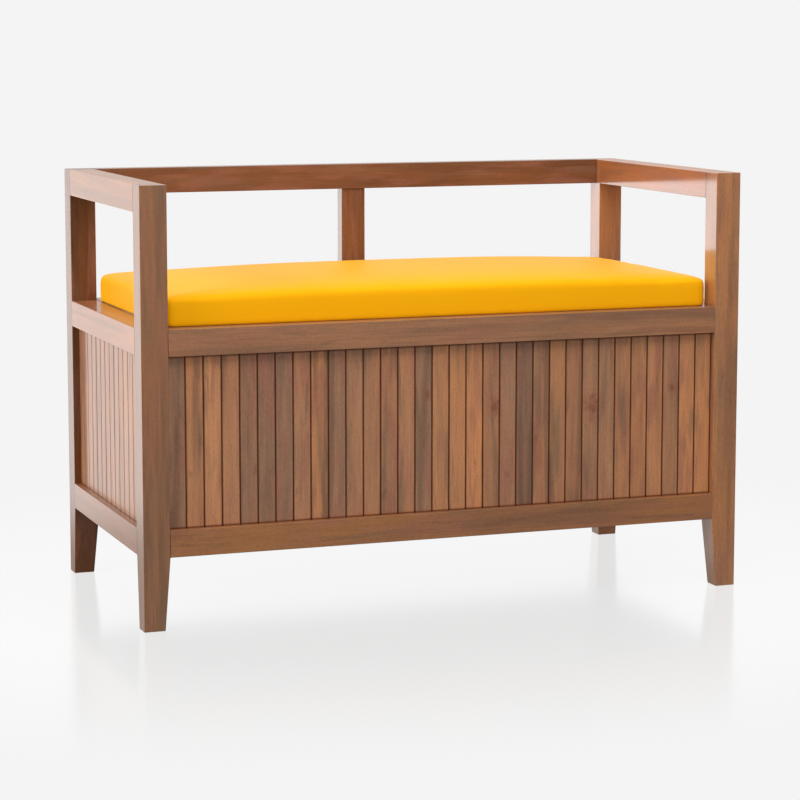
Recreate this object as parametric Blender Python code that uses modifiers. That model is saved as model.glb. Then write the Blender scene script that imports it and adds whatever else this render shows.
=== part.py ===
"""A wooden storage bench with armrests, slatted sides and a cushioned lid that turns on pivot pins.

The bench stands on the XY plane, centred on the origin. Its front faces -Y and +Z is up.
Lengths are in metres.
"""

import bmesh
import bpy
from mathutils import Vector

# Overall size, to the outer faces of the posts
WIDTH = 0.957
DEPTH = 0.472
HEIGHT = 0.650

# Posts, whose feet taper on the two inner faces
POST_WIDTH = 0.0405
POST_DEPTH = 0.038
FOOT_WIDTH = 0.032
FOOT_DEPTH = 0.029

# Rails, placed by the height of their top faces
SEAT_HEIGHT = 0.442
BASE_HEIGHT = 0.148
RAIL_HEIGHT = 0.040
ARM_HEIGHT = 0.0405
BACK_RAIL_DEPTH = 0.0255
MULLION_WIDTH = 0.040
MULLION_DEPTH = 0.0225

# Mortise and tenon joints
TENON_THICKNESS = 0.010
TENON_SHOULDER = 0.010
TENON_WALL = 0.0015
TENON_ROOT = 0.003
MULLION_TENON = 0.014

# Slatted panels, held in grooves in the rails
FRONT_SLATS = 32
SIDE_SLATS = 14
SLAT_RECESS = 0.011
SLAT_THICKNESS = 0.012
SLAT_GAP = 0.0005
SLAT_CHAMFER = 0.0017
TONGUE_LENGTH = 0.0045
TONGUE_THICKNESS = 0.004
PANEL_SLOT = 0.003
GROOVE_DEPTH = 0.008

# Plain panels of the storage box
BACK_PANEL_THICKNESS = 0.006
BACK_PANEL_RECESS = 0.009
FLOOR_THICKNESS = 0.009

# Lid, its pivot pins and the cleats that it rests on
LID_THICKNESS = 0.018
LID_CLEARANCE = 0.002
PIVOT_SETBACK = 0.070
PIN_RADIUS = 0.004
PIN_SEAT = 0.014
CLEAT_SIZE = 0.018

# Cushion, fixed on the lid
CUSHION_SETBACK = 0.0285
CUSHION_BACK_GAP = 0.0085
CUSHION_SIDE_GAP = 0.0008
CUSHION_EDGE = 0.042
CUSHION_CROWN = 0.018
CUSHION_CORNER = 0.015
CUSHION_DRAW = 0.002

# Clearances and edges
FIT = 0.0003
ARRIS = 0.0008
CUT_MARGIN = 0.002

# Faces and centres that the pieces share
SIDE = WIDTH / 2
FRONT = -DEPTH / 2
BACK = DEPTH / 2
INNER_X = SIDE - POST_WIDTH
INNER_FRONT = FRONT + POST_DEPTH
INNER_BACK = BACK - POST_DEPTH
BACK_RAIL_FRONT = BACK - BACK_RAIL_DEPTH
SEAT_RAIL_BOTTOM = SEAT_HEIGHT - RAIL_HEIGHT
BASE_RAIL_BOTTOM = BASE_HEIGHT - RAIL_HEIGHT
ARM_BOTTOM = HEIGHT - ARM_HEIGHT
LID_BOTTOM = SEAT_HEIGHT - LID_THICKNESS
PANEL_BOTTOM = BASE_HEIGHT - GROOVE_DEPTH + FIT
PANEL_TOP = SEAT_RAIL_BOTTOM + GROOVE_DEPTH - FIT
PIVOT = Vector((0.0, BACK_RAIL_FRONT - PIVOT_SETBACK, SEAT_HEIGHT - LID_THICKNESS / 2))
TENON_X = (POST_WIDTH - TENON_THICKNESS) / 2 - TENON_WALL
TENON_Y = (POST_DEPTH - TENON_THICKNESS) / 2 - TENON_WALL

# Finishes, as sRGB colours
FRAME_WOOD = (0.54, 0.36, 0.26)
SLAT_WOODS = ((0.50, 0.37, 0.28), (0.60, 0.38, 0.25), (0.55, 0.40, 0.31), (0.66, 0.42, 0.26))
BOARD_WOOD = (0.52, 0.35, 0.24)
CUSHION_YELLOW = (0.97, 0.70, 0.16)
PIN_STEEL = (0.62, 0.62, 0.63)

X, Y, Z = range(3)


def to_linear(colour):
    """Turn an sRGB colour into the linear values that shaders take."""
    return tuple(c / 12.92 if c <= 0.04045 else ((c + 0.055) / 1.055) ** 2.4 for c in colour)


def make_material(name, colour, roughness, metallic=0.0):
    material = bpy.data.materials.new(name)
    material.use_nodes = True
    shader = material.node_tree.nodes["Principled BSDF"]
    shader.inputs["Base Color"].default_value = (*to_linear(colour), 1.0)
    shader.inputs["Roughness"].default_value = roughness
    shader.inputs["Metallic"].default_value = metallic
    return material


def make_collection(name):
    collection = bpy.data.collections.new(name)
    bpy.context.scene.collection.children.link(collection)
    return collection


def make_empty(name, location, parent=None):
    empty = bpy.data.objects.new(name, None)
    empty.empty_display_size = 0.05
    empty.location = location
    empty.parent = parent
    parts.objects.link(empty)
    return empty


def box_shape(boxes):
    """A bmesh that holds one axis-aligned box for each (low corner, high corner)."""
    shape = bmesh.new()
    for low, high in boxes:
        corners = bmesh.ops.create_cube(shape, size=1.0)["verts"]
        bmesh.ops.scale(shape, vec=Vector(high) - Vector(low), verts=corners)
        bmesh.ops.translate(shape, vec=(Vector(low) + Vector(high)) / 2, verts=corners)
    return shape


def grown(box, margin):
    low, high = box
    return [v - margin for v in low], [v + margin for v in high]


def touch(box_a, box_b):
    """True where two boxes share some space."""
    return all(box_a[0][i] < box_b[1][i] and box_b[0][i] < box_a[1][i] for i in (X, Y, Z))


def add_object(name, shape, centre, collection):
    """Make an object whose origin is at the given centre of a shape in world coordinates."""
    bmesh.ops.translate(shape, vec=-Vector(centre), verts=shape.verts)
    mesh = bpy.data.meshes.new(name)
    shape.to_mesh(mesh)
    shape.free()
    piece = bpy.data.objects.new(name, mesh)
    piece.location = centre
    collection.objects.link(piece)
    return piece


def attach(piece, parent, material):
    """Parent a piece to an empty without moving it, and give it its material."""
    piece.parent = parent
    piece.location = piece.location - (parent.location if parent is pivot else Vector())
    piece.data.materials.append(material)
    return piece


def round_edges(piece, width=ARRIS, only_marked=False):
    bevel = piece.modifiers.new("arris", "BEVEL")
    bevel.width = width
    bevel.segments = 2
    bevel.limit_method = "WEIGHT" if only_marked else "ANGLE"


def add_box(name, box, material, parent, along=None):
    """Add a box. One that runs along an axis between other pieces keeps its end edges sharp."""
    low, high = box
    shape = box_shape([box])
    if along is not None:
        weight = shape.edges.layers.float.new("bevel_weight_edge")
        for edge in shape.edges:
            run = edge.verts[1].co - edge.verts[0].co
            if abs(run[along]) > abs(run.length) / 2:
                edge[weight] = 1.0
    centre = (Vector(low) + Vector(high)) / 2
    piece = attach(add_object(name, shape, centre, parts), parent, material)
    round_edges(piece, only_marked=along is not None)
    return piece


def add_helper(name, shape):
    """Add a shape that only cuts or joins other pieces."""
    helper = add_object(name, shape, Vector(), cutters)
    helper.display_type = "WIRE"
    helper.hide_render = True
    return helper


def combine(piece, helper, operation):
    boolean = piece.modifiers.new(operation.lower(), "BOOLEAN")
    boolean.operation = operation
    boolean.object = helper
    boolean.solver = "EXACT"


def end_tenons(box, along, thin, length):
    """The two tenons of a rail: thin in the middle of one side, with shoulders on the other."""
    low, high = box
    tall = 3 - along - thin
    middle = (low[thin] + high[thin]) / 2
    tenons = []
    for root, tip in ((low[along] + TENON_ROOT, low[along] - length),
                      (high[along] - TENON_ROOT, high[along] + length)):
        tenon_low, tenon_high = [0.0] * 3, [0.0] * 3
        tenon_low[thin] = middle - TENON_THICKNESS / 2
        tenon_high[thin] = middle + TENON_THICKNESS / 2
        tenon_low[tall] = low[tall] + TENON_SHOULDER
        tenon_high[tall] = high[tall] - TENON_SHOULDER
        tenon_low[along] = min(root, tip)
        tenon_high[along] = max(root, tip)
        tenons.append((tenon_low, tenon_high))
    return tenons


def add_rail(name, box, along, thin, length, grooves=()):
    """Add a rail with a tenon at each end, and cut its panel grooves."""
    rail = add_box(name, box, frame_wood, bench, along)
    tenons = end_tenons(box, along, thin, length)
    combine(rail, add_helper(name + ".tenons", box_shape(tenons)), "UNION")
    if grooves:
        combine(rail, add_helper(name + ".grooves", box_shape(grooves)), "DIFFERENCE")
    all_tenons.extend(tenons)
    return rail


def cut_mortises(piece, box):
    """Cut a mortise for each tenon that enters a piece."""
    mortises = [grown(tenon, FIT) for tenon in all_tenons if touch(tenon, box)]
    combine(piece, add_helper(piece.name + ".mortises", box_shape(mortises)), "DIFFERENCE")


def add_post(name, side, end):
    """Add a corner post. side and end are -1 or 1, for its place along X and Y."""
    outer = Vector((side * SIDE, end * BACK, 0.0))
    inner = outer - Vector((side * POST_WIDTH, end * POST_DEPTH, -HEIGHT))
    box = ([min(a, b) for a, b in zip(outer, inner)], [max(a, b) for a, b in zip(outer, inner)])
    shape = box_shape([box])
    bmesh.ops.bisect_plane(
        shape,
        geom=shape.verts[:] + shape.edges[:] + shape.faces[:],
        dist=FIT / 10,
        plane_co=(0.0, 0.0, BASE_RAIL_BOTTOM),
        plane_no=(0.0, 0.0, 1.0),
    )
    for vert in shape.verts:
        if vert.co.z < BASE_RAIL_BOTTOM / 2:
            if abs(vert.co.x - inner.x) < FIT:
                vert.co.x = outer.x - side * FOOT_WIDTH
            if abs(vert.co.y - inner.y) < FIT:
                vert.co.y = outer.y - end * FOOT_DEPTH
    centre = Vector(((outer.x + inner.x) / 2, (outer.y + inner.y) / 2, HEIGHT / 2))
    post = attach(add_object(name, shape, centre, parts), bench, frame_wood)
    round_edges(post)
    cut_mortises(post, box)


def extrude_outline(name, points):
    """A 2D outline of a panel, extruded to the height of the panels."""
    outline = bpy.data.curves.new(name, "CURVE")
    outline.dimensions = "2D"
    outline.fill_mode = "BOTH"
    outline.extrude = (PANEL_TOP - PANEL_BOTTOM) / 2
    spline = outline.splines.new("POLY")
    spline.points.add(len(points) - 1)
    for point, (x, y) in zip(spline.points, points):
        point.co = (x, y, 0.0, 1.0)
    spline.use_cyclic_u = True
    return outline


def slat_outline(width, has_tongue, has_groove):
    """The section of one slat: chamfered face at y = 0, a tongue at +x and a groove at -x."""
    half = width / 2
    middle = SLAT_THICKNESS / 2
    tongue = TONGUE_THICKNESS / 2
    groove = tongue + FIT
    points = [(-half, SLAT_CHAMFER), (-half + SLAT_CHAMFER, 0.0)]
    points += [(half - SLAT_CHAMFER, 0.0), (half, SLAT_CHAMFER)]
    if has_tongue:
        tip = half + TONGUE_LENGTH
        points += [(half, middle - tongue), (tip, middle - tongue)]
        points += [(tip, middle + tongue), (half, middle + tongue)]
    points += [(half, SLAT_THICKNESS), (-half, SLAT_THICKNESS)]
    if has_groove:
        bottom = -half + TONGUE_LENGTH
        points += [(-half, middle + groove), (bottom, middle + groove)]
        points += [(bottom, middle - groove), (-half, middle - groove)]
    return points


def panel_outline(length, count):
    """The section of a panel of joined slats, with a chamfered slot between each two."""
    half = length / 2
    slot = SLAT_GAP / 2
    points = [(-half, SLAT_THICKNESS), (-half, 0.0)]
    for i in range(1, count):
        joint = -half + length * i / count
        points += [(joint - slot - SLAT_CHAMFER, 0.0), (joint - slot, SLAT_CHAMFER)]
        points += [(joint - slot, SLAT_CHAMFER + PANEL_SLOT)]
        points += [(joint + slot, SLAT_CHAMFER + PANEL_SLOT)]
        points += [(joint + slot, SLAT_CHAMFER), (joint + slot + SLAT_CHAMFER, 0.0)]
    return points + [(half, 0.0), (half, SLAT_THICKNESS)]


def add_panel(name, outline, location, turn, material):
    panel = bpy.data.objects.new(name, outline)
    panel.location = location
    panel.rotation_euler.z = turn
    parts.objects.link(panel)
    panel.parent = bench
    if not outline.materials:
        outline.materials.append(material)
    panel.material_slots[0].link = "OBJECT"
    panel.material_slots[0].material = material


def cylinder_shape(radius, start, end):
    """A cylinder along X, from start to end, on the lid's pivot axis."""
    shape = bmesh.new()
    ends = bmesh.ops.create_cone(
        shape, cap_ends=True, segments=24, radius1=radius, radius2=radius, depth=abs(end - start)
    )["verts"]
    for vert in ends:
        vert.co = (vert.co.z, vert.co.y, -vert.co.x)
    centre = Vector(((start + end) / 2, PIVOT.y, PIVOT.z))
    bmesh.ops.translate(shape, vec=centre, verts=ends)
    return shape


def cushion_shape(low, high):
    """A cage for the cushion: flat below, crowned on top, with its edges drawn in."""
    shape = box_shape([(low, high)])
    centre = (Vector(low) + Vector(high)) / 2
    half = (Vector(high) - Vector(low)) / 2
    cuts = {
        X: [-1 + CUSHION_CORNER / half.x] + [i / 4 for i in range(-3, 4)],
        Y: [-1 + CUSHION_CORNER / half.y] + [i / 2 for i in range(-1, 2)],
        Z: [-0.5, 0.0, 0.5],
    }
    for axis in (X, Y):
        cuts[axis].append(-cuts[axis][0])
    for axis, places in cuts.items():
        for place in places:
            point = centre.copy()
            point[axis] += place * half[axis]
            normal = Vector((0.0, 0.0, 0.0))
            normal[axis] = 1.0
            bmesh.ops.bisect_plane(
                shape,
                geom=shape.verts[:] + shape.edges[:] + shape.faces[:],
                dist=FIT / 10,
                plane_co=point,
                plane_no=normal,
            )
    for vert in shape.verts:
        u = (vert.co.x - centre.x) / half.x
        v = (vert.co.y - centre.y) / half.y
        w = (vert.co.z - centre.z) / half.z
        vert.co.x -= u * CUSHION_DRAW * w * w
        vert.co.y -= v * CUSHION_DRAW * w * w
        if w > 0.99:
            vert.co.z += CUSHION_CROWN * (1 - u ** 6) * (1 - v ** 4)
    return shape


# Start from an empty scene
for old in list(bpy.data.objects):
    bpy.data.objects.remove(old, do_unlink=True)

parts = make_collection("storage_bench")
cutters = make_collection("storage_bench.cutters")
bench = make_empty("bench", (0.0, 0.0, 0.0))
pivot = make_empty("lid_pivot", PIVOT, bench)
all_tenons = []

frame_wood = make_material("frame_wood", FRAME_WOOD, 0.38)
slat_woods = [make_material(f"slat_wood_{i + 1}", c, 0.40) for i, c in enumerate(SLAT_WOODS)]
board_wood = make_material("board_wood", BOARD_WOOD, 0.50)
cushion_cloth = make_material("cushion_cloth", CUSHION_YELLOW, 0.60)
pin_steel = make_material("pin_steel", PIN_STEEL, 0.35, metallic=1.0)

# Front and back rails
FRAME_X = INNER_X - FIT
GROOVE_X = INNER_X + CUT_MARGIN
FRONT_GROOVE = (FRONT + SLAT_RECESS - FIT, FRONT + SLAT_RECESS + SLAT_THICKNESS + FIT)
BACK_PANEL_OUTER = BACK - BACK_PANEL_RECESS
BACK_GROOVE = (BACK_PANEL_OUTER - BACK_PANEL_THICKNESS - FIT, BACK_PANEL_OUTER + FIT)
GROOVE_ROOF = SEAT_RAIL_BOTTOM + GROOVE_DEPTH
GROOVE_FLOOR = BASE_HEIGHT - GROOVE_DEPTH

for end, (y_low, y_high), groove in (
    ("front", (FRONT, INNER_FRONT), FRONT_GROOVE),
    ("back", (BACK_RAIL_FRONT, BACK), BACK_GROOVE),
):
    add_rail(
        f"{end}_seat_rail",
        ((-FRAME_X, y_low, SEAT_RAIL_BOTTOM), (FRAME_X, y_high, SEAT_HEIGHT)),
        X, Y, TENON_X,
        [((-GROOVE_X, groove[0], SEAT_RAIL_BOTTOM - CUT_MARGIN), (GROOVE_X, groove[1], GROOVE_ROOF))],
    )
    add_rail(
        f"{end}_base_rail",
        ((-FRAME_X, y_low, BASE_RAIL_BOTTOM), (FRAME_X, y_high, BASE_HEIGHT)),
        X, Y, TENON_X,
        [((-GROOVE_X, groove[0], GROOVE_FLOOR), (GROOVE_X, groove[1], BASE_HEIGHT + CUT_MARGIN))],
    )

back_top_box = ((-FRAME_X, BACK_RAIL_FRONT, ARM_BOTTOM), (FRAME_X, BACK, HEIGHT))
back_top_rail = add_rail("back_top_rail", back_top_box, X, Y, TENON_X)

# The upright in the middle of the open back
mullion_box = (
    (-MULLION_WIDTH / 2, BACK - MULLION_DEPTH, SEAT_HEIGHT + FIT),
    (MULLION_WIDTH / 2, BACK, ARM_BOTTOM - FIT),
)
add_rail("back_mullion", mullion_box, Z, Y, MULLION_TENON)
back_seat_box = ((-FRAME_X, BACK_RAIL_FRONT, SEAT_RAIL_BOTTOM), (FRAME_X, BACK, SEAT_HEIGHT))
mullion_tenons = all_tenons[-2:]
for rail in (back_top_rail, bpy.data.objects["back_seat_rail"]):
    mortise = box_shape([grown(tenon, FIT) for tenon in mullion_tenons])
    combine(rail, add_helper(rail.name + ".mullion_mortise", mortise), "DIFFERENCE")

# Side rails and arm rails, which are as wide as the posts
for side_name, side in (("left", -1), ("right", 1)):
    x_low, x_high = sorted((side * INNER_X, side * SIDE))
    groove_low, groove_high = sorted(
        (side * (SIDE - SLAT_RECESS + FIT), side * (SIDE - SLAT_RECESS - SLAT_THICKNESS - FIT))
    )
    y_low, y_high = INNER_FRONT + FIT, INNER_BACK - FIT
    groove_front, groove_back = INNER_FRONT - CUT_MARGIN, INNER_BACK + CUT_MARGIN
    seat_rail = add_rail(
        f"{side_name}_seat_rail",
        ((x_low, y_low, SEAT_RAIL_BOTTOM), (x_high, y_high, SEAT_HEIGHT)),
        Y, X, TENON_Y,
        [((groove_low, groove_front, SEAT_RAIL_BOTTOM - CUT_MARGIN),
          (groove_high, groove_back, GROOVE_ROOF))],
    )
    add_rail(
        f"{side_name}_base_rail",
        ((x_low, y_low, BASE_RAIL_BOTTOM), (x_high, y_high, BASE_HEIGHT)),
        Y, X, TENON_Y,
        [((groove_low, groove_front, GROOVE_FLOOR),
          (groove_high, groove_back, BASE_HEIGHT + CUT_MARGIN))],
    )
    add_rail(
        f"{side_name}_arm_rail",
        ((x_low, y_low, ARM_BOTTOM), (x_high, y_high, HEIGHT)),
        Y, X, TENON_Y,
    )
    hole_end = side * (INNER_X + PIN_SEAT + FIT)
    hole = cylinder_shape(PIN_RADIUS + FIT, side * (INNER_X - CUT_MARGIN), hole_end)
    combine(seat_rail, add_helper(f"{side_name}_seat_rail.pin_hole", hole), "DIFFERENCE")

# Corner posts
for side_name, side in (("left", -1), ("right", 1)):
    for end_name, end in (("front", -1), ("back", 1)):
        add_post(f"{side_name}_{end_name}_post", side, end)

# Front slats, tongued into each other
slat_run = 2 * FRAME_X
slat_pitch = slat_run / FRONT_SLATS
slat_width = slat_pitch - SLAT_GAP
panel_middle = (PANEL_TOP + PANEL_BOTTOM) / 2
first_slat = extrude_outline("first_slat", slat_outline(slat_width, True, False))
middle_slat = extrude_outline("middle_slat", slat_outline(slat_width, True, True))
last_slat = extrude_outline("last_slat", slat_outline(slat_width, False, True))
for i in range(FRONT_SLATS):
    outline = first_slat if i == 0 else last_slat if i == FRONT_SLATS - 1 else middle_slat
    place = (-slat_run / 2 + (i + 0.5) * slat_pitch, FRONT + SLAT_RECESS, panel_middle)
    tone = slat_woods[i * i % len(slat_woods)]
    add_panel(f"front_slat_{i + 1:02d}", outline, place, 0.0, tone)

# Side panels of slats glued edge to edge
QUARTER_TURN = 1.5707963267948966
side_outline = extrude_outline(
    "side_panel", panel_outline(INNER_BACK - INNER_FRONT - 2 * FIT, SIDE_SLATS)
)
panel_x = SIDE - SLAT_RECESS
add_panel("left_panel", side_outline, (-panel_x, 0.0, panel_middle), -QUARTER_TURN, slat_woods[0])
add_panel("right_panel", side_outline, (panel_x, 0.0, panel_middle), QUARTER_TURN, slat_woods[0])

# Back panel and floor of the storage box
add_box(
    "back_panel",
    ((-FRAME_X, BACK_PANEL_OUTER - BACK_PANEL_THICKNESS, PANEL_BOTTOM),
     (FRAME_X, BACK_PANEL_OUTER, PANEL_TOP)),
    board_wood, bench, Z,
)
panel_inner = SLAT_RECESS + SLAT_THICKNESS + FIT
floor_low = Vector((-SIDE + panel_inner, FRONT + panel_inner, BASE_HEIGHT + FIT))
floor_high = Vector((-floor_low.x, BACK_GROOVE[0], BASE_HEIGHT + FIT + FLOOR_THICKNESS))
floor_board = attach(
    add_object("floor_board", box_shape([(floor_low, floor_high)]), (floor_low + floor_high) / 2, parts),
    bench, board_wood,
)
notches = []
for side in (-1, 1):
    for y_low, y_high in ((FRONT, INNER_FRONT + FIT), (INNER_BACK - FIT, BACK)):
        x_low, x_high = sorted((side * (INNER_X - FIT), side * SIDE))
        notches.append(((x_low, y_low, BASE_HEIGHT - CUT_MARGIN), (x_high, y_high, SEAT_HEIGHT)))
combine(floor_board, add_helper("floor_board.notches", box_shape(notches)), "DIFFERENCE")

# Cleats under the lid, which stop short of its pivot so that its tail can swing down
cleat_top = LID_BOTTOM - FIT
cleat_bottom = cleat_top - CLEAT_SIZE
cleat_front = INNER_FRONT + FIT
cleat_end = PIVOT.y - LID_THICKNESS / 2 - LID_CLEARANCE
add_box(
    "front_cleat",
    ((-FRAME_X, cleat_front, cleat_bottom), (FRAME_X, cleat_front + CLEAT_SIZE, cleat_top)),
    board_wood, bench, X,
)
for side_name, side in (("left", -1), ("right", 1)):
    x_low, x_high = sorted((side * FRAME_X, side * (FRAME_X - CLEAT_SIZE)))
    add_box(
        f"{side_name}_cleat",
        ((x_low, cleat_front + CLEAT_SIZE + FIT, cleat_bottom), (x_high, cleat_end, cleat_top)),
        board_wood, bench, Y,
    )

# Pivot pins, fixed in the side rails
for side_name, side in (("left", -1), ("right", 1)):
    start, end = side * (INNER_X - LID_CLEARANCE - PIN_SEAT), side * (INNER_X + PIN_SEAT)
    centre = ((start + end) / 2, PIVOT.y, PIVOT.z)
    pin = add_object(f"{side_name}_pivot_pin", cylinder_shape(PIN_RADIUS, start, end), centre, parts)
    attach(pin, bench, pin_steel)
    pin.data.shade_smooth()
    pin.data.set_sharp_from_angle(angle=QUARTER_TURN / 3)

# Lid board, with a blind hole in each end for its pins
lid_x = INNER_X - LID_CLEARANCE
lid_board = add_box(
    "lid_board",
    ((-lid_x, INNER_FRONT + LID_CLEARANCE, LID_BOTTOM),
     (lid_x, BACK_RAIL_FRONT - LID_CLEARANCE, SEAT_HEIGHT)),
    board_wood, pivot,
)
for side_name, side in (("left", -1), ("right", 1)):
    hole = cylinder_shape(
        PIN_RADIUS + FIT, side * (lid_x + CUT_MARGIN), side * (lid_x - PIN_SEAT - FIT)
    )
    combine(lid_board, add_helper(f"lid_board.{side_name}_pin_hole", hole), "DIFFERENCE")

# Cushion, on the lid and over the back edge of the front rail
cushion_x = INNER_X - CUSHION_SIDE_GAP
cushion_low = (-cushion_x, FRONT + CUSHION_SETBACK, SEAT_HEIGHT + FIT)
cushion_high = (cushion_x, INNER_BACK - CUSHION_BACK_GAP, SEAT_HEIGHT + FIT + CUSHION_EDGE)
cushion = add_object(
    "cushion",
    cushion_shape(cushion_low, cushion_high),
    (Vector(cushion_low) + Vector(cushion_high)) / 2,
    parts,
)
attach(cushion, pivot, cushion_cloth)
cushion.data.shade_smooth()
smooth = cushion.modifiers.new("soft_form", "SUBSURF")
smooth.levels = 1
smooth.render_levels = 1
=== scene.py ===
import math

import bmesh
import bpy
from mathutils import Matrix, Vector


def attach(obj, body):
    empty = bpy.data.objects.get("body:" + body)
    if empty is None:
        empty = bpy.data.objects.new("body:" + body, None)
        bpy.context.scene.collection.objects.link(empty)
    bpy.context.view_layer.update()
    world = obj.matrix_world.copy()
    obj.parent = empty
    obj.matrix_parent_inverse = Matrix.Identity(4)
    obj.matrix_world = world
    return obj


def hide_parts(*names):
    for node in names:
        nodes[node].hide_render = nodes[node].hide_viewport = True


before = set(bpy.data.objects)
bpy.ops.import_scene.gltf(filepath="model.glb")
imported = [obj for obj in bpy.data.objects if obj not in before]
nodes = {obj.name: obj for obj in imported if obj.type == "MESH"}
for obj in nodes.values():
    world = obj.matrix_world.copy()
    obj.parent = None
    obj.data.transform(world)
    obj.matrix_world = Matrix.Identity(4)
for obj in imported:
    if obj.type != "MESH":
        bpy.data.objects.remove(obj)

scene = bpy.context.scene
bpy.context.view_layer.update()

X, Y, Z = range(3)
MM = 0.001

# Where a Mix node's two colours are among its inputs, and a Mix Shader node's two shaders
COLOUR_A, COLOUR_B = 6, 7
SHADER_A, SHADER_B = 1, 2


# Making materials

def linear(code):
    """The linear colour of an sRGB hex code."""
    shares = [int(code[i:i + 2], 16) / 255 for i in (1, 3, 5)]
    return tuple(s / 12.92 if s <= 0.04045 else ((s + 0.055) / 1.055) ** 2.4 for s in shares) + (1.0,)


def add(tree, kind, inputs=None, **settings):
    """Adds a node with its settings, and sets its inputs or links them to a node or one of its outputs."""
    node = tree.nodes.new(kind)
    for name, value in settings.items():
        setattr(node, name, value)
    for key, value in (inputs or {}).items():
        if isinstance(value, bpy.types.Node):
            value = next(output for output in value.outputs if output.enabled)
        if isinstance(value, bpy.types.NodeSocket):
            tree.links.new(value, node.inputs[key])
        else:
            node.inputs[key].default_value = value
    return node


def new_tree(name):
    """A material of that name, with its nodes cleared."""
    material = bpy.data.materials.new(name)
    material.use_nodes = True
    material.node_tree.nodes.clear()
    return material, material.node_tree


# Lacquered hardwood, planed and stained. The stain takes unevenly, so a board drifts between rosy, olive and
# brown, and the clear coat gives it a sharp, glassy reflection where it is seen at a low angle.

# Each pattern's width across the grain and length along it, in mm. The wood's own fibres, pores and ray
# flecks are a few tenths of a mm wide, and are drawn at 1 to 2 mm so that they show.
GRAIN = {
    "figure": (9, 190),
    "fibre": (2.2, 60),
    "pores": (1.0, 14),
    "cloud": (70, 320),
    "rosy": (20, 110),
    "olive": (17, 150),
    "heart": (26, 500),
    "blots": (11, 44),
    "flecks": (2.0, 3.5),
}
# Patches where the stain took unevenly: colour, pattern, detail, distortion, low, high and strength
PATCHES = (
    ("#96604E", "rosy", 2.0, 0.5, 0.46, 0.66, 0.60),
    ("#6E5B47", "olive", 2.0, 0.5, 0.50, 0.70, 0.55),
    ("#62493A", "heart", 1.0, 0.2, 0.56, 0.66, 0.50),
)
# How far apart two boards of a panel lie in the wood that they are cut from
BOARD_SHIFT = 1.731
# The slats' ends, where they meet the rails
RAIL_BELOW = 0.148
RAIL_ABOVE = 0.402
# How far the painted shade in a groove or at a rail reaches, in full and at all
PAINTED_SHADE_COLOUR = "#5C2C15"
PAINTED_SHADE_STRENGTH = 0.85
GROOVE_PAINTED_SHADE = (0.5 * MM, 1.8 * MM)
BELOW_PAINTED_SHADE = (1.0 * MM, 3.5 * MM)
ABOVE_PAINTED_SHADE = (1.0 * MM, 5.0 * MM)


def streaks(tree, point, axis, pattern, place, detail=2.0, distortion=0.0):
    """A noise that is drawn out along the grain, in the widths and lengths of GRAIN."""
    width, length = GRAIN[pattern]
    scale = [1 / (width * MM)] * 3
    scale[axis] = 1 / (length * MM)
    stretched = add(tree, "ShaderNodeMapping", {"Vector": point, "Location": place, "Scale": scale})
    return add(tree, "ShaderNodeTexNoise", {
        "Vector": stretched, "Scale": 1.0, "Detail": detail, "Roughness": 0.55, "Distortion": distortion,
    })


def stain(tree, tone, colour, pattern, low, high, strength):
    """Lays a colour over a tone where the pattern is above low, in full strength from high."""
    amount = add(tree, "ShaderNodeMapRange", {
        "Value": pattern, "From Min": low, "From Max": high, "To Max": strength,
    }, interpolation_type="SMOOTHSTEP")
    return add(tree, "ShaderNodeMix", {
        "Factor": amount, COLOUR_A: tone, COLOUR_B: linear(colour),
    }, data_type="RGBA")


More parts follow.
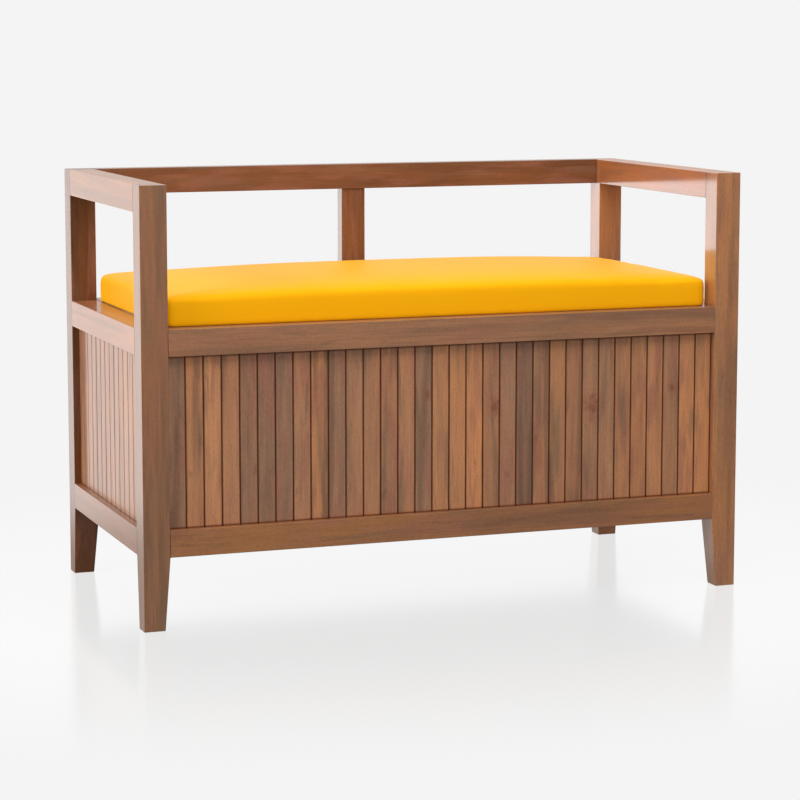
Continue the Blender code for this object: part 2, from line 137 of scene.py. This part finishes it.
def lacquered_hardwood(name, light, dark, warm, axis, place, boards=None, knots=(), patches=1.0, shine=0.62):
    """Wood with its grain along axis; boards = (axis, first edge, pitch) of a slatted panel."""
    material, tree = new_tree(name)
    texture = add(tree, "ShaderNodeTexCoord")
    point = texture.outputs["Object"]
    split = add(tree, "ShaderNodeSeparateXYZ", {0: point})
    board_point = point

    # Each board of a panel has its own figure and is a little lighter or darker than the next
    if boards:
        across, first, pitch = boards
        steps = add(tree, "ShaderNodeMapRange", {
            "Value": split.outputs[across], "From Min": first, "From Max": first + pitch,
        }, clamp=False)
        number = add(tree, "ShaderNodeMath", {0: steps}, operation="FLOOR")
        share = add(tree, "ShaderNodeMath", {0: steps}, operation="FRACT")
        off_middle = add(tree, "ShaderNodeMath", {0: share, 1: 0.5, 2: 0.0}, operation="SUBTRACT")
        off_middle = add(tree, "ShaderNodeMath", {0: off_middle}, operation="ABSOLUTE")
        edge = add(tree, "ShaderNodeMapRange", {
            "Value": off_middle, "From Min": 0.5, "From Max": 0.0, "To Max": pitch / 2,
        })
        shift = add(tree, "ShaderNodeMath", {0: number, 1: BOARD_SHIFT}, operation="MULTIPLY")
        shifts = add(tree, "ShaderNodeCombineXYZ", {axis: shift})
        board_point = add(tree, "ShaderNodeVectorMath", {0: point, 1: shifts}, operation="ADD")
        chance = add(tree, "ShaderNodeTexWhiteNoise", {"W": number}, noise_dimensions="1D")

    figure = streaks(tree, board_point, axis, "figure", place, 3.0, 0.4)
    fibre = streaks(tree, board_point, axis, "fibre", place)
    pores = streaks(tree, board_point, axis, "pores", place, 1.0)
    flecks = streaks(tree, board_point, axis, "flecks", place, 1.0)

    tone = add(tree, "ShaderNodeMix", {
        "Factor": figure, COLOUR_A: linear(dark), COLOUR_B: linear(light),
    }, data_type="RGBA")
    tone = stain(tree, tone, light, figure, 0.40, 0.62, 0.7)
    tone = stain(tree, tone, warm, streaks(tree, point, axis, "cloud", place), 0.35, 0.70, 1.0)
    for colour, pattern, detail, distortion, low, high, strength in PATCHES:
        patch = streaks(tree, point, axis, pattern, place, detail, distortion)
        tone = stain(tree, tone, colour, patch, low, high, strength * patches)
    blots = streaks(tree, board_point, axis, "blots", place, 2.0, 0.8)
    tone = stain(tree, tone, "#5E3E2E", blots, 0.62, 0.80, 0.4 * patches)
    # A knot is a dark core in a rosy ring, ragged at its edge, and half as high again as it is wide
    for x, z, size in knots:
        off = add(tree, "ShaderNodeVectorMath", {0: point, 1: (x, 0, z)}, operation="SUBTRACT")
        off = add(tree, "ShaderNodeVectorMath", {0: off, 1: (1.0, 0.0, 0.66)}, operation="MULTIPLY")
        reach = add(tree, "ShaderNodeVectorMath", {0: off}, operation="LENGTH")
        ragged = add(tree, "ShaderNodeTexNoise", {"Vector": point, "Scale": 1 / (9 * MM), "Detail": 2.0})
        ragged = add(tree, "ShaderNodeMath", {0: ragged, 1: size * 1.5, 2: reach}, operation="MULTIPLY_ADD")
        tone = stain(tree, tone, "#8E5440", ragged, size * 2.0, size * 1.1, 0.4)
        tone = stain(tree, tone, "#5E3428", ragged, size * 1.4, size * 0.8, 0.45)
    if boards:
        spread = add(tree, "ShaderNodeMapRange", {"Value": chance, "To Min": 0.94, "To Max": 1.06})
        tone = add(tree, "ShaderNodeVectorMath", {0: tone, "Scale": spread}, operation="SCALE")
    fine = add(tree, "ShaderNodeMapRange", {
        "Value": fibre, "From Min": 0.25, "From Max": 0.75, "To Min": 0.87, "To Max": 1.13,
    })
    fine = add(tree, "ShaderNodeMath", {0: flecks, 1: 0.40, 2: fine}, operation="MULTIPLY_ADD")
    fine = add(tree, "ShaderNodeMath", {0: fine, 1: 0.20}, operation="SUBTRACT")
    tone = add(tree, "ShaderNodeVectorMath", {0: tone, "Scale": fine}, operation="SCALE")
    tone = stain(tree, tone, "#5A2C14", pores, 0.62, 0.80, 0.25)

    # End grain soaks up more stain, so it is darker
    facing = add(tree, "ShaderNodeSeparateXYZ", {0: texture.outputs["Normal"]}).outputs[axis]
    facing = add(tree, "ShaderNodeMath", {0: facing}, operation="ABSOLUTE")
    tone = stain(tree, tone, dark, facing, 0.85, 0.97, 0.35)

    # Painted shade darkens the grooves between the boards, and the slats where they meet the rails
    if boards:
        height = split.outputs[Z]
        full, none = GROOVE_PAINTED_SHADE
        tone = stain(tree, tone, PAINTED_SHADE_COLOUR, edge, none, full, PAINTED_SHADE_STRENGTH)
        full, none = BELOW_PAINTED_SHADE
        tone = stain(tree, tone, PAINTED_SHADE_COLOUR, height, RAIL_BELOW + none, RAIL_BELOW + full, PAINTED_SHADE_STRENGTH)
        full, none = ABOVE_PAINTED_SHADE
        tone = stain(tree, tone, PAINTED_SHADE_COLOUR, height, RAIL_ABOVE - none, RAIL_ABOVE - full, PAINTED_SHADE_STRENGTH)

    rough = add(tree, "ShaderNodeMath", {0: fibre, 1: 0.16, 2: 0.42}, operation="MULTIPLY_ADD")
    relief = add(tree, "ShaderNodeMath", {0: pores, 1: -0.5, 2: fibre}, operation="MULTIPLY_ADD")
    bump = add(tree, "ShaderNodeBump", {"Height": relief, "Strength": 0.12, "Distance": 0.15 * MM})
    # The coat mirrors its surroundings only at low angles, as lacquer under a soft studio light does
    slant = add(tree, "ShaderNodeLayerWeight", {"Blend": 0.5}).outputs["Facing"]
    gloss = add(tree, "ShaderNodeMath", {0: slant, 1: 1.8}, operation="MULTIPLY", use_clamp=True)
    gloss = add(tree, "ShaderNodeMath", {0: gloss, 1: 1.6}, operation="POWER")
    gloss = add(tree, "ShaderNodeMath", {0: gloss, 1: shine}, operation="MULTIPLY")
    shader = add(tree, "ShaderNodeBsdfPrincipled", {
        "Base Color": tone, "Roughness": rough, "IOR": 1.4, "Normal": bump,
        "Coat Weight": gloss, "Coat Roughness": 0.10, "Coat IOR": 4.0, "Coat Tint": linear("#FFF3E4"),
    })
    add(tree, "ShaderNodeOutputMaterial", {"Surface": shader})
    return material


def give(material, *names):
    """Puts a material in the slots of CAD nodes."""
    for name in names:
        for slot in nodes[name].material_slots:
            slot.material = material


# The frame's stock: each piece is cut from its own board, so each has its own tone and figure; the left back
# post's darker tones are painted shade.
# A row is the grain's axis, then the light, dark and warm tone.
STOCK = {
    "left_front_post": (Z, "#8A6246", "#70513D", "#8C5F41"),
    # Darker tones here are painted shade on the left back post
    "left_back_post": (Z, "#6A4023", "#4E311D", "#6E4021"),
    "right_front_post": (Z, "#AA7650", "#8A5F44", "#AE754A"),
    "right_back_post": (Z, "#B07850", "#8E6044", "#B57648"),
    "front_seat_rail": (X, "#9A6D4D", "#845F49", "#9F6B48"),
    "front_base_rail": (X, "#956543", "#7C553C", "#9B673F"),
    "back_seat_rail": (X, "#98683F", "#7E543A", "#A26A3E"),
    "back_base_rail": (X, "#8C5E3B", "#724A34", "#966038"),
    "left_seat_rail": (Y, "#A66D48", "#895B41", "#AC6F46"),
    "right_seat_rail": (Y, "#9C6642", "#7E5238", "#A2663C"),
    "left_base_rail": (Y, "#885A3C", "#704A35", "#905E3C"),
    "right_base_rail": (Y, "#8C5E3B", "#724A34", "#966038"),
    "left_arm_rail": (Y, "#A06C4A", "#845A42", "#A66C46"),
    "right_arm_rail": (Y, "#A8683A", "#865030", "#AE6A34"),
    "back_top_rail": (X, "#754A30", "#5A3826", "#7A4B2D"),
    "back_mullion": (Z, "#7E4E30", "#603A24", "#824E2C"),
}
for number, (name, (axis, *tones)) in enumerate(STOCK.items()):
    # Far enough apart in the pattern that no two pieces share a figure
    place = (number * 2.3, number * 5.7, number * 3.9)
    give(lacquered_hardwood("lacquered_hardwood_" + name, *tones, axis, place, patches=0.6), name)

# The slats are of many boards, each with its own tone from dark heartwood to light sapwood
SLATS = 32
SLAT_RUN = 0.4377
SLAT_TONES = {
    "a": ("#8E6A52", "#7A5C49", "#906750"),
    "b": ("#9A7256", "#846251", "#9C6D51"),
    "c": ("#A67857", "#8D654F", "#A87452"),
    "d": ("#AE7A54", "#976A4E", "#B07850"),
    "e": ("#B88058", "#A27050", "#BA7D52"),
}
SLAT_ORDER = "beecbaacdbccccbdeecbacddccddecee"
# Knots of the front panel: place across and up, and radius
KNOTS = ((0.235, 0.296, 0.020), (-0.035, 0.327, 0.009), (0.371, 0.318, 0.009), (0.074, 0.303, 0.014))
slat_woods = {}
for number, (letter, tones) in enumerate(SLAT_TONES.items()):
    slat_woods[letter] = lacquered_hardwood(
        "lacquered_hardwood_slats_" + letter, *tones, Z, (number * 3.7, number * 1.9, number * 5.3),
        boards=(X, -SLAT_RUN, 2 * SLAT_RUN / SLATS), knots=KNOTS, shine=0.40,
    )
for number, letter in enumerate(SLAT_ORDER, 1):
    give(slat_woods[letter], f"front_slat_{number:02d}")

PANEL_BOARDS = 14
PANEL_RUN = 0.1977
panel_wood = lacquered_hardwood(
    "lacquered_hardwood_side_panels", *SLAT_TONES["c"], Z, (2.2, 8.1, 1.4),
    boards=(Y, -PANEL_RUN, 2 * PANEL_RUN / PANEL_BOARDS), shine=0.45,
)
give(panel_wood, "left_panel", "right_panel")

# Birch plywood, peeled and stained, has a plain, even face. The cleats are the frame's own wood, left sawn.
board_wood = lacquered_hardwood(
    "stained_birch_plywood", "#9A7452", "#86664A", "#966E4A", X, (5.2, 1.1, 6.4), patches=0.3,
)
give(board_wood, "back_panel", "floor_board", "lid_board")
cleat_tones = ("#976A4B", "#7C5540", "#9E6840")
give(lacquered_hardwood("sawn_hardwood_front_cleat", *cleat_tones, X, (4.3, 3.1, 2.2)), "front_cleat")
side_cleat_wood = lacquered_hardwood("sawn_hardwood_side_cleats", *cleat_tones, Y, (1.3, 9.1, 4.2))
give(side_cleat_wood, "left_cleat", "right_cleat")

# Turned mild steel pins, bright, with fine rings left by the tool
pin_steel, tree = new_tree("turned_mild_steel")
spot = add(tree, "ShaderNodeTexCoord").outputs["Object"]
# Tool rings of about 0.1 mm, drawn at 0.6 mm so that they show
RING = 0.6 * MM
rings = add(tree, "ShaderNodeTexWave", {
    "Vector": spot, "Scale": math.pi / (10 * RING), "Distortion": 0.5, "Detail": 1.0,
}, bands_direction="X")
shine = add(tree, "ShaderNodeMix", {
    "Factor": rings.outputs["Fac"], COLOUR_A: linear("#8E8E8C"), COLOUR_B: linear("#B4B3B0"),
}, data_type="RGBA")
shader = add(tree, "ShaderNodeBsdfPrincipled", {"Base Color": shine, "Metallic": 1.0, "Roughness": 0.35})
add(tree, "ShaderNodeOutputMaterial", {"Surface": shader})
give(pin_steel, "left_pivot_pin", "right_pivot_pin")


# The cushion: a crowned foam slab in a smooth woven cover

SEAT_TOP = 0.4423
SIDE = 0.4370
FRONT = -0.2105
BACK = 0.1895
EDGE_HEIGHT = 0.0405
CROWN = 0.0185
# The share of the crown's height that the front edge has at its middle
FRONT_ARCH = 0.35
CORNER = 0.015
SHOULDER = 0.007
# The cuts across the slab that give its crown a curve
CUTS_ACROSS = 36
CUTS_DEEP = 16
VOXEL = 6.0 * MM
# Before keep_in trims it, the form is larger than the cushion all round and reaches down into the lid
SPARE = 1.0 * MM
SUNK = 6.0 * MM
# How far the simulated cover may swell from its form, and how far it may draw in
SWELL = 5.0 * MM
TUCK = 0.5 * MM
FRAMES = 20
# The open lid leans the crown towards the back top rail, so the foam is drawn in above this height
CROWN_ROOM = 0.5000
DRAW_IN = 3.0 * MM


def cushion_form():
    """A slab with rounded corners and shoulders and a crowned top."""
    shape = bmesh.new()
    bmesh.ops.create_cube(shape, size=1.0)
    size = (2 * (SIDE + SPARE), BACK - FRONT + 2 * SPARE, EDGE_HEIGHT + SUNK)
    middle = (0.0, (FRONT + BACK) / 2, SEAT_TOP - SUNK + size[Z] / 2)
    bmesh.ops.scale(shape, vec=size, verts=shape.verts)
    bmesh.ops.translate(shape, vec=middle, verts=shape.verts)
    upright = [e for e in shape.edges if abs(e.verts[0].co.z - e.verts[1].co.z) > size[Z] / 2]
    bmesh.ops.bevel(
        shape, geom=upright, offset=CORNER, affect="EDGES", segments=5, profile=0.5, material=-1,
    )
    rims = [
        e for e in shape.edges
        if abs(e.verts[0].co.z - e.verts[1].co.z) < 1e-6 and len(e.link_faces) == 2
        and abs(e.link_faces[0].normal.z - e.link_faces[1].normal.z) > 0.5
    ]
    bmesh.ops.bevel(
        shape, geom=rims, offset=SHOULDER, affect="EDGES", segments=3, profile=0.5, material=-1,
    )
    for axis, low, high, steps in ((X, -SIDE, SIDE, CUTS_ACROSS), (Y, FRONT, BACK, CUTS_DEEP)):
        for step in range(1, steps):
            place = Vector((0, 0, 0))
            place[axis] = low + (high - low) * step / steps
            normal = Vector((0, 0, 0))
            normal[axis] = 1.0
            everything = shape.verts[:] + shape.edges[:] + shape.faces[:]
            bmesh.ops.bisect_plane(shape, geom=everything, plane_co=place, plane_no=normal)
    for vert in shape.verts:
        along = min(abs(vert.co.x) / SIDE, 1.0)
        depth = min(abs(2 * (vert.co.y - middle[Y]) / (BACK - FRONT)), 1.0)
        edge = FRONT_ARCH if vert.co.y < middle[Y] else 0.0
        lift = (1 - along ** 3.0) * (1 - (1 - edge) * depth ** 2.4)
        height = max(vert.co.z - SEAT_TOP, 0.0) / EDGE_HEIGHT
        vert.co.z += CROWN * lift * height ** 2
    mesh = bpy.data.meshes.new("cushion_cover")
    shape.to_mesh(mesh)
    shape.free()
    return mesh


def keep_in(co):
    """Keeps the cover on the lid, between the posts, and clear of the back when the lid is open."""
    co.z = max(co.z, SEAT_TOP)
    over = co.z - CROWN_ROOM
    if over > 0:
        co.z = CROWN_ROOM + DRAW_IN * (1 - math.exp(-over / DRAW_IN))
    co.x = max(-SIDE, min(SIDE, co.x))
    co.y = max(FRONT - SPARE, min(BACK, co.y))


def apply_modifiers(piece):
    depsgraph = bpy.context.evaluated_depsgraph_get()
    mesh = bpy.data.meshes.new_from_object(piece.evaluated_get(depsgraph))
    piece.modifiers.clear()
    piece.data = mesh


cushion = bpy.data.objects.new("cushion_cover", cushion_form())
scene.collection.objects.link(cushion)
remesh = cushion.modifiers.new("Remesh", "REMESH")
remesh.mode = "VOXEL"
remesh.voxel_size = VOXEL
apply_modifiers(cushion)
start = [v.co.copy() for v in cushion.data.vertices]
# Pressure from within swells the cover, as foam that is cut a little too large does
cloth = cushion.modifiers.new("Cloth", "CLOTH")
cloth.settings.quality = 6
cloth.settings.mass = 0.3
cloth.settings.tension_stiffness = 18
cloth.settings.compression_stiffness = 18
cloth.settings.bending_stiffness = 1.5
cloth.settings.use_pressure = True
cloth.settings.uniform_pressure_force = 4.0
cloth.settings.effector_weights.gravity = 0.0
cloth.point_cache.frame_start = 1
cloth.point_cache.frame_end = FRAMES
for step in range(1, FRAMES + 1):
    scene.frame_set(step)
apply_modifiers(cushion)
scene.frame_set(1)
for vert, before in zip(cushion.data.vertices, start):
    move = vert.co - before
    if move.length > SWELL:
        move *= SWELL / move.length
    for axis, middle in ((X, 0.0), (Y, (FRONT + BACK) / 2), (Z, SEAT_TOP + EDGE_HEIGHT / 2)):
        side = math.copysign(1.0, before[axis] - middle)
        move[axis] = side * max(side * move[axis], -TUCK)
    vert.co = before + move
    keep_in(vert.co)
smooth = cushion.modifiers.new("Subdivision", "SUBSURF")
smooth.levels = smooth.render_levels = 1
apply_modifiers(cushion)
for polygon in cushion.data.polygons:
    polygon.use_smooth = True

# Woven polyester, a smooth plain weave with a faint bloom at low angles. Its threads are about 0.5 mm
# apart, drawn at 1.6 mm so that they show.
THREAD = 1.6 * MM
canvas, tree = new_tree("woven_polyester_cover")
spot = add(tree, "ShaderNodeTexCoord").outputs["Object"]
weave = 0.0
for direction in "XYZ":
    threads = add(tree, "ShaderNodeTexWave", {
        "Vector": spot, "Scale": math.pi / (10 * THREAD), "Distortion": 0.3, "Detail": 1.0,
    }, bands_direction=direction)
    weave = add(tree, "ShaderNodeMath", {0: threads.outputs["Fac"], 1: weave}, operation="ADD")
dye = add(tree, "ShaderNodeTexNoise", {"Vector": spot, "Scale": 1 / (110 * MM), "Detail": 3.0})
dye = add(tree, "ShaderNodeMix", {
    "Factor": dye, COLOUR_A: linear("#EAA206"), COLOUR_B: linear("#F0AA08"),
}, data_type="RGBA")
dye = stain(tree, dye, "#E39A05", weave, 1.2, 2.6, 0.25)
bump = add(tree, "ShaderNodeBump", {"Height": weave, "Strength": 0.10, "Distance": 0.2 * MM})
shader = add(tree, "ShaderNodeBsdfPrincipled", {
    "Base Color": dye, "Roughness": 0.45, "Specular IOR Level": 0.04, "Normal": bump,
    "Sheen Weight": 0.09, "Sheen Roughness": 0.5, "Sheen Tint": linear("#FFE9B8"),
})
add(tree, "ShaderNodeOutputMaterial", {"Surface": shader})
cushion.data.materials.clear()
cushion.data.materials.append(canvas)
give(canvas, "cushion")
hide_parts("cushion")
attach(cushion, "lid")


# The zip in the cushion's back, by which the cover comes off: two cloth lips over its teeth, and a slider

ZIP_HALF = 0.300
ZIP_HEIGHT = SEAT_TOP + 0.019
LIP = 5.0 * MM
LIP_GAP = 0.4 * MM
LIP_DEEP = 1.0 * MM
LIP_PROUD = 1.2 * MM
SLIDER_PLACE = ZIP_HALF - 5.5 * MM
SLIDER_LENGTH = 7.0 * MM
SLIDER_WIDTH = 6.0 * MM
SLIDER_PROUD = 1.2 * MM
ROUNDING = 0.5 * MM
# The pull hangs from the slider's middle
PULL_WIDTH = 4.0 * MM
PULL_ABOVE = 1.0 * MM
PULL_BELOW = 13.0 * MM
PULL_THICKNESS = 1.0 * MM
PULL_ROUNDING = 0.4 * MM


def rounded_block(shape, low, high, rounding):
    """Adds a block between two corners, with rounded edges, to a bmesh."""
    block = bmesh.ops.create_cube(shape, size=1.0)["verts"]
    low, high = Vector(low), Vector(high)
    bmesh.ops.scale(shape, vec=high - low, verts=block)
    bmesh.ops.translate(shape, vec=(low + high) / 2, verts=block)
    edges = {edge for vert in block for edge in vert.link_edges}
    bmesh.ops.bevel(
        shape, geom=list(edges), offset=rounding, affect="EDGES", segments=2, profile=0.5, material=-1,
    )


def finished(name, shape, material, body):
    """Makes a bmesh a piece of the scene that rides on a body."""
    mesh = bpy.data.meshes.new(name)
    shape.to_mesh(mesh)
    shape.free()
    mesh.materials.append(material)
    piece = bpy.data.objects.new(name, mesh)
    scene.collection.objects.link(piece)
    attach(piece, body)
    return piece


lips = bmesh.new()
for low, high in ((-LIP_GAP - LIP, -LIP_GAP), (LIP_GAP, LIP_GAP + LIP)):
    rounded_block(
        lips, (-ZIP_HALF, BACK - LIP_DEEP, ZIP_HEIGHT + low),
        (ZIP_HALF, BACK + LIP_PROUD, ZIP_HEIGHT + high), ROUNDING,
    )
finished("cushion_zip_lips", lips, canvas, "lid")

# Die-cast zinc, tumbled smooth, so its gloss is soft and a little uneven
zinc, tree = new_tree("die_cast_zinc")
spot = add(tree, "ShaderNodeTexCoord").outputs["Object"]
# Tumbling marks of about 0.3 mm, drawn at 0.8 mm so that they show
marks = add(tree, "ShaderNodeTexNoise", {"Vector": spot, "Scale": 1 / (0.8 * MM), "Detail": 2.0})
rough = add(tree, "ShaderNodeMapRange", {"Value": marks, "To Min": 0.30, "To Max": 0.45})
shine = add(tree, "ShaderNodeMix", {
    "Factor": marks, COLOUR_A: linear("#A2A3A5"), COLOUR_B: linear("#B8B9BA"),
}, data_type="RGBA")
shader = add(tree, "ShaderNodeBsdfPrincipled", {"Base Color": shine, "Metallic": 1.0, "Roughness": rough})
add(tree, "ShaderNodeOutputMaterial", {"Surface": shader})

slider = bmesh.new()
face = BACK + LIP_PROUD + SLIDER_PROUD
rounded_block(
    slider, (SLIDER_PLACE - SLIDER_LENGTH / 2, BACK, ZIP_HEIGHT - SLIDER_WIDTH / 2),
    (SLIDER_PLACE + SLIDER_LENGTH / 2, face, ZIP_HEIGHT + SLIDER_WIDTH / 2), ROUNDING,
)
rooted = face - SLIDER_PROUD / 2
rounded_block(
    slider, (SLIDER_PLACE - PULL_WIDTH / 2, rooted, ZIP_HEIGHT - PULL_BELOW),
    (SLIDER_PLACE + PULL_WIDTH / 2, rooted + PULL_THICKNESS, ZIP_HEIGHT + PULL_ABOVE), PULL_ROUNDING,
)
finished("cushion_zip_slider", slider, zinc, "lid")


# The studio: a pale floor that ends in a backdrop of the same tone

BACKDROP = "#F4F4F4"
FLOOR_SIZE = 6.0
# The paper glows in full to the camera, at a third to glossy rays, and at a quarter as light on the bench
GLOW_MIRRORED = 0.15
GLOW_UNSEEN = 0.24
GLOW_SHARE = 0.96
POLISH_SHARE = 0.17
# It fades out round the bench between these distances, further away at its sides than in front and behind
FADE_FROM = 0.45
FADE_TO = 1.1
FADE_STRETCH = (0.75, 1.0, 1.0)

bpy.ops.mesh.primitive_plane_add(size=FLOOR_SIZE)
floor = bpy.context.object
floor.name = "floor"
# Matt white paper, lit enough to keep the bench's shadow, with a faint polish that mirrors its feet
paper, tree = new_tree("matt_white_paper")
path = add(tree, "ShaderNodeLightPath")
seen = add(tree, "ShaderNodeMath", {
    0: path.outputs["Is Glossy Ray"], 1: GLOW_MIRRORED, 2: path.outputs["Is Camera Ray"],
}, operation="MULTIPLY_ADD", use_clamp=True)
lit = add(tree, "ShaderNodeBsdfPrincipled", {
    "Base Color": linear("#F3F3F3"), "Roughness": 0.7, "Specular IOR Level": 0.2,
})
strength = add(tree, "ShaderNodeMapRange", {"Value": seen, "To Min": GLOW_UNSEEN})
glow = add(tree, "ShaderNodeEmission", {"Color": linear("#F6F6F6"), "Strength": strength})
soft = add(tree, "ShaderNodeMixShader", {0: GLOW_SHARE, SHADER_A: lit, SHADER_B: glow})
polish = add(tree, "ShaderNodeBsdfGlossy", {"Color": linear("#FFFFFF"), "Roughness": 0.15})
soft = add(tree, "ShaderNodeMixShader", {0: POLISH_SHARE, SHADER_A: soft, SHADER_B: polish})
spot = add(tree, "ShaderNodeTexCoord").outputs["Object"]
spot = add(tree, "ShaderNodeVectorMath", {0: spot, 1: FADE_STRETCH}, operation="MULTIPLY")
distance = add(tree, "ShaderNodeVectorMath", {0: spot}, operation="LENGTH")
away = add(tree, "ShaderNodeMapRange", {
    "Value": distance, "From Min": FADE_FROM, "From Max": FADE_TO,
}, interpolation_type="SMOOTHSTEP")
clear = add(tree, "ShaderNodeBsdfTransparent")
fade = add(tree, "ShaderNodeMixShader", {0: away, SHADER_A: soft, SHADER_B: clear})
add(tree, "ShaderNodeOutputMaterial", {"Surface": fade})
floor.data.materials.append(paper)

# The world lights the bench evenly; glossy rays see a bright studio behind it and a dark one in front
world = bpy.data.worlds.new("studio")
scene.world = world
world.use_nodes = True
tree = world.node_tree
tree.nodes.clear()
path = add(tree, "ShaderNodeLightPath")
way = add(tree, "ShaderNodeTexCoord").outputs["Generated"]
way = add(tree, "ShaderNodeSeparateXYZ", {0: way})
walls = stain(tree, linear("#A8A8A8"), "#FFFFFF", way.outputs[Z], -0.1, 0.45, 1.0)
walls = stain(tree, walls, "#FFFFFF", way.outputs[X], 0.15, -0.15, 1.0)
walls = stain(tree, walls, "#282828", way.outputs[Y], 0.5, -0.5, 1.0)
ambient = add(tree, "ShaderNodeBackground", {"Color": linear("#FFFFFF"), "Strength": 0.34})
backdrop = add(tree, "ShaderNodeBackground", {"Color": linear(BACKDROP), "Strength": 1.0})
mirrored = add(tree, "ShaderNodeBackground", {"Color": walls, "Strength": 1.35})
straight = add(tree, "ShaderNodeMath", {
    0: path.outputs["Is Camera Ray"], 1: path.outputs["Is Transmission Ray"],
}, operation="ADD", use_clamp=True)
sky = add(tree, "ShaderNodeMixShader", {
    0: path.outputs["Is Glossy Ray"], SHADER_A: ambient, SHADER_B: mirrored,
})
sky = add(tree, "ShaderNodeMixShader", {0: straight, SHADER_A: sky, SHADER_B: backdrop})
add(tree, "ShaderNodeOutputWorld", {"Surface": sky})


def softbox(name, place, target, width, height, watts, mirrored=False):
    """Adds a soft lamp that points at the target; surfaces mirror it only if asked."""
    data = bpy.data.lights.new(name, "AREA")
    data.shape = "RECTANGLE"
    data.size = width
    data.size_y = height
    data.energy = watts
    lamp = bpy.data.objects.new(name, data)
    lamp.location = place
    lamp.rotation_euler = (Vector(target) - Vector(place)).to_track_quat("-Z", "Y").to_euler()
    lamp.visible_camera = False
    lamp.visible_glossy = mirrored
    scene.collection.objects.link(lamp)


CENTRE = (0, 0, 0.35)
softbox("left_softbox", (-2.8, -0.3, 1.3), CENTRE, 2.4, 2.0, 76)
softbox("top_softbox", (0, -1.2, 2.7), CENTRE, 2.2, 2.0, 62)
softbox("front_softbox", (-0.2, -3.2, 1.0), CENTRE, 2.2, 1.6, 24)
softbox("rear_softbox", (2.6, 2.0, 1.5), CENTRE, 2.2, 2.2, 50)
softbox("reflected_panel", (-0.6, 2.3, 0.4), (0, 0, 0.4), 0.6, 1.1, 1.2, mirrored=True)

# The photo's viewpoint, fitted to the edges of the posts and rails
camera_data = bpy.data.cameras.new("camera")
camera_data.sensor_width = 36
camera_data.lens = 117.104
camera_data.shift_y = -0.05
camera = bpy.data.objects.new("camera", camera_data)
camera.location = (-1.4059, -3.8376, 0.8751)
camera.rotation_euler = (math.radians(90 - 7.318), 0, math.radians(-20.168))
scene.collection.objects.link(camera)
scene.camera = camera
scene.view_settings.view_transform = "Standard"
